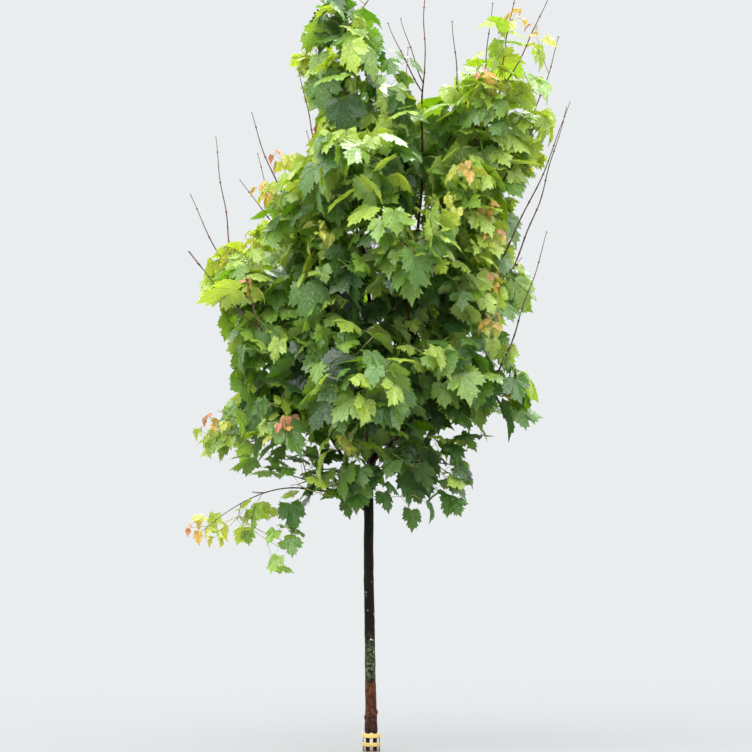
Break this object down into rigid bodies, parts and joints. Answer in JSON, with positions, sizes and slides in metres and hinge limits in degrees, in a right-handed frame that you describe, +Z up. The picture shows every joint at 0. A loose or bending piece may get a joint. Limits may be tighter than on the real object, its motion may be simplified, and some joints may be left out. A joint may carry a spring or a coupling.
{
  "type": "young maple tree",
  "caption": "Young maple tree in leaf: slim leaning trunk, second leader, boughs all round, open upright crown of lobed leaves with bare whips, and a slatted guard at its foot.",
  "frame": {"origin": "middle of the trunk's flat cut, on the level ground", "axes": "+Z up, +X to the right and -Y towards the viewer as the picture sees the tree"},
  "size_m": [1.8897, 1.5461, 3.85],
  "materials": {
    "bark": "dark wet bark",
    "foliage": "fresh wet leaves",
    "guard_slat": "weathered white",
    "guard_band": "yellow"
  },
  "bodies": {
    "root": {"bough_high_back": "bark", "bough_high_front": "bark", "bough_high_left": "bark", "bough_high_right": "bark", "bough_left_back": "bark", "bough_low_back": "bark", "bough_low_front": "bark", "bough_low_left": "bark", "bough_low_right": "bark", "bough_low_twig": "bark", "bough_mid_front": "bark", "bough_mid_left": "bark", "bough_mid_right": "bark", "bough_right_back": "bark", "guard_band_lower": "guard_band", "guard_band_upper": "guard_band", "guard_slats": "guard_slat", "leader_left": "bark", "leaves_centre_right": "foliage", "leaves_centre_upper": "foliage", "leaves_droop_left": "foliage", "leaves_high_back": "foliage", "leaves_high_front": "foliage", "leaves_high_right": "foliage", "leaves_leader_mid": "foliage", "leaves_leader_top": "foliage", "leaves_left_back": "foliage", "leaves_left_bottom": "foliage", "leaves_left_front": "foliage", "leaves_left_inner": "foliage", "leaves_left_middle": "foliage", "leaves_left_outer": "foliage", "leaves_left_upper": "foliage", "leaves_low_back": "foliage", "leaves_low_front": "foliage", "leaves_low_left": "foliage", "leaves_low_right": "foliage", "leaves_mid_front": "foliage", "leaves_right_back": "foliage", "leaves_right_bottom": "foliage", "leaves_right_edge": "foliage", "leaves_right_front": "foliage", "leaves_right_inner": "foliage", "leaves_right_mid": "foliage", "leaves_right_side": "foliage", "leaves_right_upper": "foliage", "leaves_trunk_top": "foliage", "trunk": "bark"}
  },
  "joints": []
}
